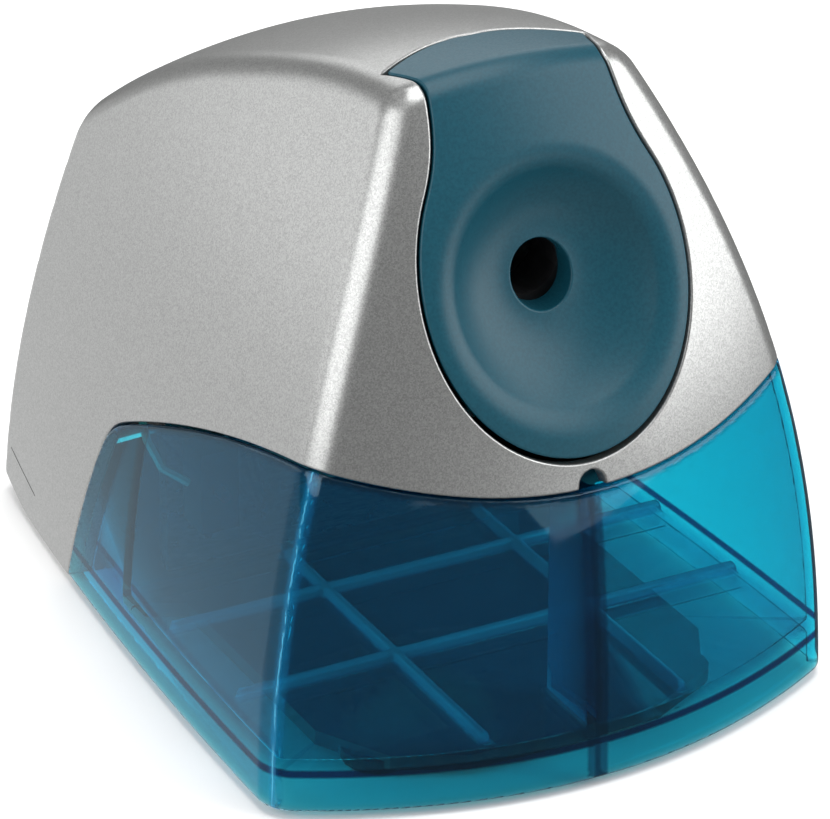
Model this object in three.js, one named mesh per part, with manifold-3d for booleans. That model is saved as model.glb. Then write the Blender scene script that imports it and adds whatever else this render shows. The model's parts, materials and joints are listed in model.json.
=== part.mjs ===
// Desktop electric pencil sharpener with a pull-out shavings bin.
// Millimetres. +Z is up, +X is the right-hand side, and the pencil goes in at the front, towards +Y.
// Inside the casing group y counts back from the foot of the front face, and z up from the casing's
// lower edge.
import * as THREE from "three";
import { mergeVertices } from "three/addons/utils/BufferGeometryUtils.js";
import Module from "manifold-3d";

const wasm = await Module();
wasm.setup();

// ---- Driving dimensions ----
const FOOT_PROUD = 1; // how far the rubber feet stand below the casing
const CASING_DEPTH = 123.07; // front foot to rear foot, on the centre plane
const WALL = 2.2; // silver casing
const PANEL_WALL = 2.4; // front panel
const BIN_WALL = 2; // clear shavings bin
const GAP = 0.3; // clearance between touching pieces
const FRONT_CORNER_R = 3; // roundings of the outer form
const REAR_CORNER_R = 2.2;
const SHOULDER_R = 5;

const AXIS_Z = 68.9; // height of the pencil's axis
const PENCIL_HOLE_R = 4.55;
const DISH_R = 16.6; // finger dish round the pencil hole
const DISH_DEPTH = 7.6;

const CONE_TIP_Y = 58; // where a sharpened point ends
const CONE_LENGTH = 19;
const PENCIL_R = 3.75;
const CUTTER_R = 6;

const RING_TEETH = 38;
const PLANET_TEETH = 12;
const PLANET_MODULE = 0.8;
const CARRIER_TEETH = 34;
const IDLER_PINION_TEETH = 12;
const SLOW_MODULE = 0.9;
const IDLER_WHEEL_TEETH = 40;
const MOTOR_PINION_TEETH = 10;
const FAST_MODULE = 0.7;

const MOTOR_Z = 36;
const MOTOR_R = 14;
const BIN_FOOT_Z = 0.3; // lowest edge of the bin
const BIN_FLOOR_Z = 3.6;
const BIN_FLOOR_TOP = 5.4;
const BIN_BACK_Y = 66; // front face of the bin's rear wall
const BIN_INNER_WALL = 1.8;
const BIN_END_Y = 87.6; // where the bin's side walls end, beside the casing

// ---- Outer surfaces of the casing ----
// Each is a low polynomial: the face's middle line, and how far it falls away on both sides of it.
const frontY = (x, z) => {
  const lean = 0.013405 * z + 0.000983 * z ** 2 + 0.000017 * z ** 3;
  return lean + (0.006563 + 0.000016 * z) * x * x;
};
const sideX = (y, z) => 44.6 - 0.000648 * (y - 13) ** 2 - 29.161 * Math.pow(Math.max(z, 0) / 100, 1.9217);
const topZ = (x, y) => {
  const back = y - 11.91; // behind the highest point
  return 97.84 - 0.001982 * back ** 2 - 0.0000116 * Math.max(back, 0) ** 3 - 0.006461 * x * x;
};
const rearY = (x, z) => CASING_DEPTH - 0.18099 * z + 0.0000953 * z * z - 0.002083 * x * x;
// Height of the line where the silver casing ends and the clear bin starts: a long curve, and a steep run
// down at the back.
const binLineZ = (x, y) => {
  const long = 43.62 + 0.00598 * x * x - 0.0966 * y - 0.00273 * y * y;
  const steep = 3.4 + (86 - y) * 2.477;
  const soft = 2.5;
  return -soft * Math.log(Math.exp(-long / soft) + Math.exp(-steep / soft));
};

// ---- Solids ----
// The solid of a closed geometry.
const closed = (geometry) => {
  const g = geometry.clone();
  g.deleteAttribute("normal");
  g.deleteAttribute("uv");
  const merged = mergeVertices(g, 1e-4);
  return new wasm.Manifold(
    new wasm.Mesh({
      numProp: 3,
      vertProperties: new Float32Array(merged.attributes.position.array),
      triVerts: new Uint32Array(merged.index.array),
    }),
  );
};

const geometryOf = (solid) => {
  const mesh = solid.getMesh();
  const g = new THREE.BufferGeometry();
  g.setAttribute("position", new THREE.BufferAttribute(mesh.vertProperties, 3));
  g.setIndex(new THREE.BufferAttribute(mesh.triVerts, 1));
  g.computeVertexNormals();
  return g;
};

const join = (...solids) => solids.reduce((a, b) => a.add(b));
const cut = (solid, ...tools) => tools.reduce((a, b) => a.subtract(b), solid);
const both = (a, b) => a.intersect(b);

const box = (x0, x1, y0, y1, z0, z1) => {
  const g = new THREE.BoxGeometry(x1 - x0, y1 - y0, z1 - z0);
  return closed(g.translate((x0 + x1) / 2, (y0 + y1) / 2, (z0 + z1) / 2));
};

// Round bar along Y, centred on (x, z).
const rod = (x, z, r, y0, y1, sides = 20) =>
  closed(new THREE.CylinderGeometry(r, r, y1 - y0, sides).translate(x, (y0 + y1) / 2, z));

// Round bar along Z, centred on (x, y).
const post = (x, y, r, z0, z1, sides = 16) => {
  const upright = new THREE.CylinderGeometry(r, r, z1 - z0, sides).rotateX(Math.PI / 2);
  return closed(upright.translate(x, y, (z0 + z1) / 2));
};

const ring = (x, z, rOut, rIn, y0, y1, sides = 20) =>
  cut(rod(x, z, rOut, y0, y1, sides), rod(x, z, rIn, y0 - 1, y1 + 1, sides));

const extruded = (shape, depth, curveSegments) =>
  new THREE.ExtrudeGeometry(shape, { depth, bevelEnabled: false, curveSegments });

// A shape in (x, z) pushed along Y from y0 to y1.
const plate = (shape, y0, y1, curveSegments = 12) =>
  closed(extruded(shape, y1 - y0, curveSegments).rotateX(Math.PI / 2).translate(0, y1, 0));

// A shape in (x, y) raised from z0 to z1.
const slab = (shape, z0, z1) => closed(extruded(shape, z1 - z0, 12).translate(0, 0, z0));

const polygon = (points) => new THREE.Shape(points.map(([a, b]) => new THREE.Vector2(a, b)));
const mirrored = (right) => polygon([...right, ...right.slice().reverse().map(([a, b]) => [-a, b])]);

// A closed solid from rings of points, each ring listed the same way round, with a fan at each end.
const skinOf = (rings, firstTip, lastTip) => {
  const n = rings[0].length;
  const positions = [...rings.flat(), firstTip, lastTip].flat();
  const first = rings.length * n;
  const faces = [];
  for (let j = 0; j < rings.length - 1; j++) {
    for (let i = 0; i < n; i++) {
      const a = j * n + i;
      const b = j * n + ((i + 1) % n);
      faces.push(a, b, b + n, a, b + n, a + n);
    }
  }
  for (let i = 0; i < n; i++) {
    const next = (i + 1) % n;
    const top = (rings.length - 1) * n;
    faces.push(first, next, i);
    faces.push(first + 1, top + i, top + next);
  }
  const g = new THREE.BufferGeometry();
  g.setAttribute("position", new THREE.BufferAttribute(new Float32Array(positions), 3));
  g.setIndex(faces);
  const made = closed(g);
  if (made.volume() > 0) return made;
  g.setIndex(faces.reverse());
  return closed(g);
};

const span = (from, to, steps) =>
  Array.from({ length: steps + 1 }, (_, i) => from + ((to - from) * i) / steps);
const mix = (a, b, t) => a + (b - a) * t;
const bend = (a, corner, b, t) => mix(mix(a, corner, t), mix(corner, b, t), t);

// How much longer a face's normal is than the step along its axis.
const slope = (f, a, b) => {
  const d = 0.1;
  return Math.hypot(1, (f(a + d, b) - f(a, b)) / d, (f(a, b + d) - f(a, b)) / d);
};

// The whole outer form, moved inwards by `inset`, standing on the level `floor`.
// It is laid out as rings round the walls, a rounded shoulder, and rings that close over the top.
const form = (inset, floor) => {
  const front = (x, z) => frontY(x, z) + inset * slope(frontY, x, z);
  const side = (y, z) => sideX(y, z) - inset * slope(sideX, y, z);
  const rear = (x, z) => rearY(x, z) - inset * slope(rearY, x, z);
  const top = (x, y) => topZ(x, y) - inset * slope(topZ, x, y);
  const frontR = Math.max(FRONT_CORNER_R - inset, 0.8);
  const rearR = Math.max(REAR_CORNER_R - inset, 1.5);
  const shoulder = Math.max(SHOULDER_R - inset, 1.2);

  const corners = (z) => {
    let f = 30;
    let r = 30;
    for (let k = 0; k < 30; k++) {
      f = (f + side(front(f, z), z)) / 2;
      r = (r + side(rear(r, z), z)) / 2;
    }
    return { f, r, fy: front(f, z), ry: rear(r, z) };
  };
  // Stations round the right-hand half, from the middle of the front to the middle of the rear.
  const stations = [
    ...span(0, 1, 3).map((t) => (z, c) => [t * (c.f - frontR), front(t * (c.f - frontR), z)]),
    ...[1 / 3, 2 / 3].map((t) => (z, c) => [
      bend(c.f - frontR, c.f, side(c.fy + frontR, z), t),
      bend(front(c.f - frontR, z), c.fy, c.fy + frontR, t),
    ]),
    ...span(0, 1, 4).map((t) => (z, c) => {
      const y = mix(c.fy + frontR, c.ry - rearR, t);
      return [side(y, z), y];
    }),
    ...[1 / 3, 2 / 3].map((t) => (z, c) => [
      bend(side(c.ry - rearR, z), c.r, c.r - rearR, t),
      bend(c.ry - rearR, c.ry, rear(c.r - rearR, z), t),
    ]),
    ...span(1, 0, 2).map((t) => (z, c) => [t * (c.r - rearR), rear(t * (c.r - rearR), z)]),
  ];
  const at = (station, z) => [...station(z, corners(z)), z];
  const crest = (station) => {
    let z = 80;
    for (let k = 0; k < 40; k++) {
      const [x, y] = at(station, z);
      z = (z + top(x, y)) / 2;
    }
    return z;
  };
  const middleY = 62;
  const rib = (station) => {
    const z = crest(station);
    const edge = at(station, z);
    const wall = at(station, z - shoulder);
    const reach = Math.hypot(edge[0], edge[1] - middleY);
    const onTop = (t) => {
      const x = edge[0] * (1 - t);
      const y = mix(edge[1], middleY, t);
      return [x, y, top(x, y)];
    };
    const inner = onTop(shoulder / reach);
    return [
      at(station, floor),
      at(station, mix(floor, z - shoulder, 0.35)),
      at(station, mix(floor, z - shoulder, 0.7)),
      wall,
      wall.map((w, k) => bend(w, edge[k], inner[k], 0.5)),
      inner,
      onTop(0.55),
    ];
  };
  const right = stations.map(rib);
  const mirror = (points) => points.map(([x, y, z]) => [-x, y, z]);
  const left = right.slice(1, -1).reverse().map(mirror);
  const ribs = [...right, ...left];
  const rings = ribs[0].map((_, j) => ribs.map((points) => points[j]));
  return skinOf(rings, [0, middleY, floor], [0, middleY, top(0, middleY)]);
};

// Everything below the bin line raised by `lift`.
const belowBinLine = (lift) => {
  const xs = span(-54, 54, 18);
  const ys = [-8, 6, 20, 34, 48, 60, 66, 69, 72, 75, 78, 82, 86, 92];
  const under = -20;
  const rows = ys.map((y) => xs.map((x) => [x, y, Math.max(binLineZ(x, y) + lift, under + 5)]));
  const rings = rows.map((row) => [...row, [54, row[0][1], under], [-54, row[0][1], under]]);
  const middle = (r) => [0, r[0][1], under + 2];
  return skinOf(rings, middle(rings[0]), middle(rings[rings.length - 1]));
};

// ---- Front panel outline, drawn on a plane tilted 60 degrees so that it wraps onto the top ----
const PANEL_TILT = Math.PI / 3;
const panelOutline = (grow) => {
  const r = 20.3 + grow;
  const middle = 48;
  const leave = 0.56; // angle where the round lower part ends, above the horizontal
  const rx = r * Math.cos(leave);
  const ry = middle + r * Math.sin(leave);
  const neck = 13.6 + grow;
  const tip = 15.6 + grow;
  const back = 78 + grow;
  const crown = 87.4 + grow;
  const shape = new THREE.Shape();
  shape.moveTo(0, middle - r);
  shape.absarc(0, middle, r, -Math.PI / 2, leave, false);
  shape.bezierCurveTo(rx - 2.6, ry + 4.1, neck + 0.5, 66, neck, 71);
  shape.bezierCurveTo(neck - 0.1, 73.5, tip - 0.9, 76.5, tip, back);
  shape.quadraticCurveTo(0, crown, -tip, back);
  shape.bezierCurveTo(0.9 - tip, 76.5, 0.1 - neck, 73.5, -neck, 71);
  shape.bezierCurveTo(-neck - 0.5, 66, 2.6 - rx, ry + 4.1, -rx, ry);
  shape.absarc(0, middle, r, Math.PI - leave, 1.5 * Math.PI, false);
  return shape;
};
const panelPrism = (grow) => {
  const along = new THREE.Vector3(0, -Math.cos(PANEL_TILT), Math.sin(PANEL_TILT));
  const up = new THREE.Vector3(0, Math.sin(PANEL_TILT), Math.cos(PANEL_TILT));
  const basis = new THREE.Matrix4().makeBasis(new THREE.Vector3(1, 0, 0), up, along);
  return closed(extruded(panelOutline(grow), 90, 8).applyMatrix4(basis));
};

// The dish is a bowl sunk along Y below the curved face; `under` is the material left behind it.
const bowl = (under) => {
  const radii = [DISH_R + under, 14, 10.5, 7];
  const around = span(0, 2 * Math.PI, 20).slice(0, -1);
  const width = DISH_R - PENCIL_HOLE_R;
  const depth = (r) => DISH_DEPTH * (1 - (Math.max(r - PENCIL_HOLE_R, 0) / width) ** 2) + under;
  const loops = radii.map((r) =>
    around.map((a) => {
      const x = r * Math.cos(a);
      const z = AXIS_Z + r * Math.sin(a);
      return [x, frontY(x, z) + (r > DISH_R ? 1 : depth(r)), z];
    }),
  );
  // The solid behind the dish starts just below the face, and the cutting tool well in front of it.
  const mouthY = (x, z) => (under ? frontY(x, z) + 0.6 : -6);
  const mouth = loops[0].map(([x, , z]) => [x, mouthY(x, z), z]);
  const tipY = frontY(0, AXIS_Z) + depth(0);
  return skinOf([mouth, ...loops], [0, mouthY(0, AXIS_Z), AXIS_Z], [0, tipY, AXIS_Z]);
};

// ---- Gears, with straight-sided teeth and running clearance ----
const TOP = Math.PI / 2; // every gear's outline starts with a tooth at the top
const gearShape = (teeth, module, bore) => {
  const pitch = (2 * Math.PI) / teeth;
  const root = (module * teeth) / 2 - 1.15 * module;
  const tip = (module * teeth) / 2 + 0.8 * module;
  const points = [];
  for (let i = 0; i < teeth; i++) {
    const marks = [[-0.3, root], [-0.12, tip], [0.12, tip], [0.3, root]];
    for (const [offset, r] of marks) {
      const a = TOP + (i + offset) * pitch;
      points.push([r * Math.cos(a), r * Math.sin(a)]);
    }
  }
  const shape = polygon(points);
  shape.holes.push(new THREE.Path().absarc(0, 0, bore, 0, 2 * Math.PI, true));
  return shape;
};
// A spur gear along Y, with a tooth in the direction `facing`, or a gap there where `gapped` is true.
const gear = ({ teeth, module, bore, y0, y1, x, z, facing, gapped = false }) => {
  const twist = facing - TOP + (gapped ? Math.PI / teeth : 0);
  const g = extruded(gearShape(teeth, module, bore), y1 - y0, 8).rotateZ(twist);
  return closed(g.rotateX(Math.PI / 2).translate(x, y1, z));
};

// ---- Places worked out from the driving dimensions ----
const coneSlope = PENCIL_R / CONE_LENGTH;
const coneAngle = Math.atan(coneSlope);
// Distance of the cutter's axis from the pencil's axis at y.
const cutterOffset = (y) =>
  (CONE_TIP_Y - y + CUTTER_R * Math.sin(coneAngle)) * coneSlope + CUTTER_R * Math.cos(coneAngle);
const planetOffset = ((RING_TEETH - PLANET_TEETH) * PLANET_MODULE) / 2;
const planetDrop = (planetOffset - CUTTER_R * Math.cos(coneAngle)) / coneSlope;
const planetY = CONE_TIP_Y + CUTTER_R * Math.sin(coneAngle) - planetDrop;
const slowCentres = ((CARRIER_TEETH + IDLER_PINION_TEETH) * SLOW_MODULE) / 2;
const fastCentres = ((IDLER_WHEEL_TEETH + MOTOR_PINION_TEETH) * FAST_MODULE) / 2;
const drop = AXIS_Z - MOTOR_Z;
const idlerRise = (fastCentres ** 2 - slowCentres ** 2 + drop ** 2) / (2 * drop);
const IDLER_X = Math.sqrt(fastCentres ** 2 - idlerRise ** 2);
const IDLER_Z = MOTOR_Z + idlerRise;

const part = new THREE.Group();
const casing = new THREE.Group();
casing.position.set(0, -CASING_DEPTH / 2, FOOT_PROUD);
part.add(casing);

const FINISH = {
  silver: { color: 0xb4b6b8, roughness: 0.42, metalness: 0.55 },
  teal: { color: 0x1c4a5c, roughness: 0.55, metalness: 0 },
  clearBlue: { color: 0x0a6f96, roughness: 0.08, metalness: 0, transparent: true, opacity: 0.55 },
  black: { color: 0x1b1d1f, roughness: 0.5, metalness: 0 },
  rubber: { color: 0x161616, roughness: 0.9, metalness: 0 },
  steel: { color: 0x9a9c9e, roughness: 0.3, metalness: 1 },
  zinc: { color: 0xc2c4c4, roughness: 0.35, metalness: 1 },
  brass: { color: 0xb5924c, roughness: 0.35, metalness: 1 },
  nylon: { color: 0xe4e0d2, roughness: 0.5, metalness: 0 },
  board: { color: 0x1f5a36, roughness: 0.5, metalness: 0 },
  red: { color: 0xb02820, roughness: 0.5, metalness: 0 },
  green: { color: 0x2b7d4a, roughness: 0.5, metalness: 0 },
};
const add = (name, finish, geometry) => {
  const shape = geometry instanceof THREE.BufferGeometry ? geometry : geometryOf(geometry);
  const mesh = new THREE.Mesh(shape, new THREE.MeshStandardMaterial(FINISH[finish]));
  mesh.name = name;
  casing.add(mesh);
};

// ---- Casing ----
const BASE_BOSSES = [[34.4, 95], [24, 115.2]].flatMap(([x, y]) => [[x, y], [-x, y]]);
const GLAND_Z = 10;
const REAR_LIFT = 3.4; // how far the casing's lower edge rises at the rear
const LOCK = { x: -24, z: 18 }; // where the bin works its interlock switch

// The space under the casing's rear edge, drawn in (y, z) and run from side to side.
const underRearEdge = () => {
  const profile = [[104, -1], [104, 0], [108, 0.15], [112, 0.8], [116, 1.95], [119.5, REAR_LIFT]];
  const outline = polygon([...profile, [126, REAR_LIFT], [126, -1]]);
  const run = extruded(outline, 100, 1).rotateY(Math.PI / 2).rotateX(Math.PI / 2);
  return closed(run.translate(-50, 0, 0));
};

const topHousing = () => {
  const shell = cut(form(0, 0), form(WALL, -5));
  const bosses = BASE_BOSSES.map(([x, y]) => both(post(x, y, 4, 3.2, 16), form(1, -5)));
  const pilots = BASE_BOSSES.map(([x, y]) => post(x, y, 1.6, 0, 13, 10));
  const notch = rod(0, 44, 2, -5, 12, 12); // above the bin's middle rib
  const glandHole = rod(0, GLAND_Z, 4.6, 110, 130, 16);
  const openings = [belowBinLine(GAP), panelPrism(0.05), notch, glandHole, underRearEdge()];
  return cut(join(shell, ...bosses), ...openings, ...pilots);
};

const frontPanel = () => {
  const skin = both(cut(form(0, 0), form(PANEL_WALL, -5)), panelPrism(-0.25));
  const boss = rod(0, AXIS_Z, 7.6, 15, 22.6, 24);
  const solid = join(skin, both(bowl(2.2), form(0, 0)), boss);
  const guideSeat = rod(0, AXIS_Z, 8.7, 22.6, 32, 24);
  return cut(solid, bowl(0), guideSeat, rod(0, AXIS_Z, PENCIL_HOLE_R, 5, 30, 24));
};

const shavingsBin = () => {
  const ribTop = 7.4;
  const underLine = belowBinLine(0);
  const shell = cut(form(0, BIN_FOOT_Z), form(BIN_WALL, -5));
  const inside = form(BIN_WALL / 2, BIN_FOOT_Z);
  const wallEnd = BIN_BACK_Y + BIN_INNER_WALL;
  const floor = both(inside, box(-50, 50, 2, wallEnd, BIN_FLOOR_Z, BIN_FLOOR_TOP));
  const backWall = both(inside, box(-34.5, 34.5, BIN_BACK_Y, wallEnd, BIN_FLOOR_Z, 40));
  const sideWalls = both(inside, box(-50, 50, BIN_BACK_Y, wallEnd, BIN_FLOOR_Z, 60));
  const middleRib = both(inside, box(-0.9, 0.9, 0, 15, BIN_FLOOR_Z, 60));
  const crossRibs = [30.5, 52].map((y) => both(inside, box(-34, 34, y, y + 1.4, BIN_FLOOR_Z, ribTop)));
  const longRibs = [-15.5, 15.5].map((x) =>
    both(inside, box(x - 0.7, x + 0.7, 9, BIN_BACK_Y + 1, BIN_FLOOR_Z, ribTop)),
  );
  const ledgeRing = cut(form(0, BIN_FOOT_Z), form(BIN_WALL + 1.4, -5));
  const ledge = both(ledgeRing, box(-50, 50, -5, 67, 4.9, 6.2));
  const outer = both(join(shell, floor, sideWalls, middleRib, ...crossRibs, ...longRibs, ledge), underLine);
  const tab = box(LOCK.x - 2, LOCK.x + 2, BIN_BACK_Y + 1, wallEnd, LOCK.z - 4, LOCK.z + 4);
  return cut(join(outer, backWall, tab), box(-60, 60, BIN_END_Y, 140, -10, 90));
};

const baseOutline = () => {
  const rearHalf = (y) => sideX(y, 0) - WALL - 0.9;
  return mirrored([
    [0, 9.5],
    [15, 10],
    [25, 15],
    [31, 26],
    [31, 67],
    [36.5, 70],
    [36.5, 88],
    [rearHalf(90), 90],
    [rearHalf(106), 106],
    [29, 117.2],
    [0, 119.6],
  ]);
};
const FEET = [
  ["front_left", -24, 21],
  ["front_right", 24, 21],
  ["rear_left", -27, 106],
  ["rear_right", 27, 106],
];
const BASE_Z = 0.5;
const BASE_TOP = 2.8;

const basePlate = () => {
  const sheet = slab(baseOutline(), BASE_Z, BASE_TOP);
  const recesses = FEET.map(([, x, y]) => post(x, y, 5.4, BASE_Z - 1, BASE_Z + 1.1, 20));
  const shanks = BASE_BOSSES.map(([x, y]) => post(x, y, 1.7, -2, 5, 10));
  const heads = BASE_BOSSES.map(([x, y]) => post(x, y, 3.2, -2, BASE_Z + 1.3, 14));
  const rails = [-30, 28.6].map((x) => box(x, x + 1.4, 88, 116, BASE_TOP - 0.5, 5));
  const saddle = [-9, 7].map((x) => box(x, x + 2, 88, 106, BASE_TOP - 0.5, MOTOR_Z - 11.5));
  const cradle = rod(0, MOTOR_Z, MOTOR_R + GAP, 80, 112, 32);
  return cut(join(sheet, ...rails, ...saddle), ...recesses, ...shanks, ...heads, cradle);
};

add("top_housing", "silver", topHousing());
add("front_panel", "teal", frontPanel());
add("shavings_bin", "clearBlue", shavingsBin());
add("base_plate", "black", basePlate());

for (const [name, x, y] of FEET) {
  const pad = [[0, 0], [4.5, 0], [5, 0.5], [5, 2.3], [0, 2.3]].map(([r, h]) => new THREE.Vector2(r, h));
  const foot = new THREE.LatheGeometry(pad, 16).rotateX(Math.PI / 2);
  add(`foot_${name}`, "rubber", closed(foot.translate(x, y, -FOOT_PROUD)));
}

// A pan-head screw with its cross recess, pointing along +Z from its head.
const screw = (headR, headH, shankR, length) => {
  const profile = [[0, 0], [headR, 0], [headR, headH * 0.6], [headR * 0.7, headH]];
  const down = [[shankR, headH], [shankR, length], [0, length + shankR]];
  const turned = new THREE.LatheGeometry([...profile, ...down].map(([r, h]) => new THREE.Vector2(r, h)), 9);
  const slot = (a) => box(-headR * 0.6, headR * 0.6, -0.25, 0.25, -1, headH * 0.4).rotate([0, 0, a]);
  return cut(closed(turned.rotateX(Math.PI / 2)), slot(45), slot(135));
};
BASE_BOSSES.forEach(([x, y], i) => {
  add(`base_screw_${i + 1}`, "zinc", screw(2.8, 1, 1.25, 11).translate([x, y, BASE_Z + 0.2]));
});

// Rubber bush that the mains cord comes out of, with its two flanges either side of the rear wall.
const REAR_LEAN = Math.atan(0.18); // how far the rear wall leans forward
const cordGland = () => {
  const inner = -WALL - 0.4;
  const profile = [
    [2.6, inner - 2], [6, inner - 2], [6, inner], [4.1, inner],
    [4.1, 0.3], [5.2, 0.3], [5.2, 0.7], [2.6, 0.7], [2.6, inner - 2],
  ];
  const turned = new THREE.LatheGeometry(profile.map(([r, y]) => new THREE.Vector2(r, y)), 20);
  return closed(turned.rotateX(REAR_LEAN).translate(0, rearY(0, GLAND_Z), GLAND_Z));
};

// ---- Pencil guide and start lever ----
const LEVER = { x: 11, z: 76.6, y0: 24.8, y1: 28.2 };
const pencilGuide = () => {
  const tube = rod(0, AXIS_Z, 6.6, 22.9, 29.7, 24);
  const flange = rod(0, AXIS_Z, 8.4, 22.9, 24.3, 24);
  const bore = rod(0, AXIS_Z, PENCIL_HOLE_R, 20, 31, 24);
  const slot = box(-1.7, 1.7, LEVER.y0 - 0.3, LEVER.y1 + 0.3, AXIS_Z, 80);
  return cut(join(tube, flange), bore, slot);
};
const startLever = () => {
  const arm = new THREE.Shape();
  arm.moveTo(-1.2, 72.3);
  arm.lineTo(1.2, 72.3);
  arm.lineTo(1.2, 76);
  arm.lineTo(LEVER.x, LEVER.z - 2);
  arm.absarc(LEVER.x, LEVER.z, 2, -Math.PI / 2, Math.PI / 2, false);
  arm.lineTo(-2.6, LEVER.z + 2);
  arm.lineTo(-2.6, 76);
  arm.lineTo(-1.2, 76);
  return cut(plate(arm, LEVER.y0, LEVER.y1, 8), rod(LEVER.x, LEVER.z, 1.3, 20, 32, 12));
};
add("pencil_guide", "black", pencilGuide());
add("start_lever", "nylon", startLever());
add("start_lever_pin", "steel", rod(LEVER.x, LEVER.z, 1, 24.3, 29.7, 12));

// Snap-action switch: case, with a pocket that its button runs in.
const SWITCH = { x0: -8, x1: 4.8, y0: 23.6, y1: 29.6, z0: 80, z1: 86 };
const BUTTON = { x: -1.8, y: 26.5 };
const startSwitch = () => {
  const body = box(SWITCH.x0, SWITCH.x1, SWITCH.y0, SWITCH.y1, SWITCH.z0, SWITCH.z1);
  const pocket = post(BUTTON.x, BUTTON.y, 1.1, SWITCH.z0 - 1, SWITCH.z0 + 3.2, 12);
  const pinHoles = [SWITCH.x0 + 2.2, SWITCH.x1 - 2.2].map((x) => rod(x, SWITCH.z1 - 2, 0.9, 20, 32, 10));
  return cut(body, pocket, ...pinHoles);
};
add("start_switch", "black", startSwitch());
add("start_switch_button", "red", post(BUTTON.x, BUTTON.y, 0.8, LEVER.z + 2.3, SWITCH.z0 + 1.2, 12));

// ---- Mechanism frame ----
const SHROUD_Y = 30;
const CHASSIS_Z = 51;
const GEAR_FRAME_Y = 63.4;
const MOTOR_PLATE_Y = 76.6;
const PILLARS = [[-14, 50], [20.3, 69.8], [-20.3, 69.8]];

// Black moulding over the bin: shroud round the cutter, floor with the chip chute, and front bearing wall.
const chassis = () => {
  const profile = [
    [8.3, SHROUD_Y], [20.2, SHROUD_Y], [20.2, 42], [16.4, 60.6], [14.9, 60.6], [18.7, 42],
    [18.7, SHROUD_Y + 1.6], [8.3, SHROUD_Y + 1.6], [8.3, SHROUD_Y],
  ];
  const turned = new THREE.LatheGeometry(profile.map(([r, y]) => new THREE.Vector2(r, y)), 36);
  const shroud = cut(closed(turned.translate(0, 0, AXIS_Z)), box(-30, 30, 20, 70, 40, CHASSIS_Z));
  const outline = mirrored([[0, 17], [27, 17], [31.4, 21], [31.4, 60.6], [0, 60.6]]);
  const sheet = slab(outline, CHASSIS_Z, CHASSIS_Z + 1.8);
  const chute = box(-9.4, 9.4, 33, 58.5, 40, CHASSIS_Z + 6);
  const wiring = box(-15.5, -13.4, 28, 62, 83, 92);
  return cut(join(cut(sheet, rod(0, AXIS_Z, 18.7, 33, 59, 36)), shroud), chute, wiring);
};

const ringGear = () => {
  const r = (RING_TEETH * PLANET_MODULE) / 2;
  const pitch = (2 * Math.PI) / RING_TEETH;
  const shape = new THREE.Shape().absarc(0, 0, 18.4, 0, 2 * Math.PI, false);
  const teeth = [];
  for (let i = 0; i < RING_TEETH; i++) {
    const marks = [[-0.32, r + 1], [-0.14, r - 0.5], [0.14, r - 0.5], [0.32, r + 1]];
    for (const [offset, radius] of marks) {
      const a = Math.PI / 2 + (i + 0.5 + offset) * pitch;
      teeth.push(new THREE.Vector2(radius * Math.cos(a), radius * Math.sin(a)));
    }
  }
  shape.holes.push(new THREE.Path(teeth.reverse()));
  const width = 3.6;
  return plate(shape, planetY - width / 2, planetY + width / 2, 24).translate([0, 0, AXIS_Z]);
};

const gearFrame = () => {
  const outline = mirrored([[0, 43], [15, 43], [23.5, 52], [23.5, 70], [20.6, 76], [12, 83.5], [0, 83.5]]);
  const pillars = PILLARS.map(([x, z]) => rod(x, z, 2.4, GEAR_FRAME_Y + 2, MOTOR_PLATE_Y - GAP, 14));
  const pilots = PILLARS.map(([x, z]) => rod(x, z, 1.2, 70, 78, 10));
  const bores = [rod(0, AXIS_Z, 6.3, 60, 67, 20), rod(IDLER_X, IDLER_Z, 1.8, 60, 67, 12)];
  return cut(join(plate(outline, GEAR_FRAME_Y, GEAR_FRAME_Y + 2.2), ...pillars), ...pilots, ...bores);
};

const MOTOR_SCREWS = [[-5.7, 5.7], [5.7, -5.7]];
const motorPlate = () => {
  const outline = mirrored([[0, 3.1], [29.5, 3.1], [29.5, 45], [22, 71], [13, 79.5], [0, 79.5]]);
  const sheet = plate(outline, MOTOR_PLATE_Y, MOTOR_PLATE_Y + 2.4);
  const shelf = [-13.5, 9.5].map((x) => box(x, x + 4, MOTOR_PLATE_Y + 2, 90, 55.6, 57.6));
  const holes = [
    rod(0, MOTOR_Z, 5.4, 70, 85, 20),
    rod(0, AXIS_Z, 3.4, 70, 85, 16),
    rod(IDLER_X, IDLER_Z, 1.8, 70, 85, 12),
    ...MOTOR_SCREWS.map(([x, z]) => rod(x, MOTOR_Z + z, 1.3, 70, 85, 10)),
    ...PILLARS.map(([x, z]) => rod(x, z, 1.3, 70, 85, 10)),
  ];
  return cut(join(sheet, ...shelf), ...holes);
};

add("chassis", "black", chassis());
add("ring_gear", "steel", ringGear());
add("gear_frame", "black", gearFrame());
add("motor_plate", "steel", motorPlate());
add("front_bush", "brass", ring(0, AXIS_Z, 8, 6.5, SHROUD_Y - 0.1, SHROUD_Y + 1.6, 24));
add("rear_bush", "brass", ring(0, AXIS_Z, 6, 4.3, GEAR_FRAME_Y, GEAR_FRAME_Y + 2.2, 24));

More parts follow.
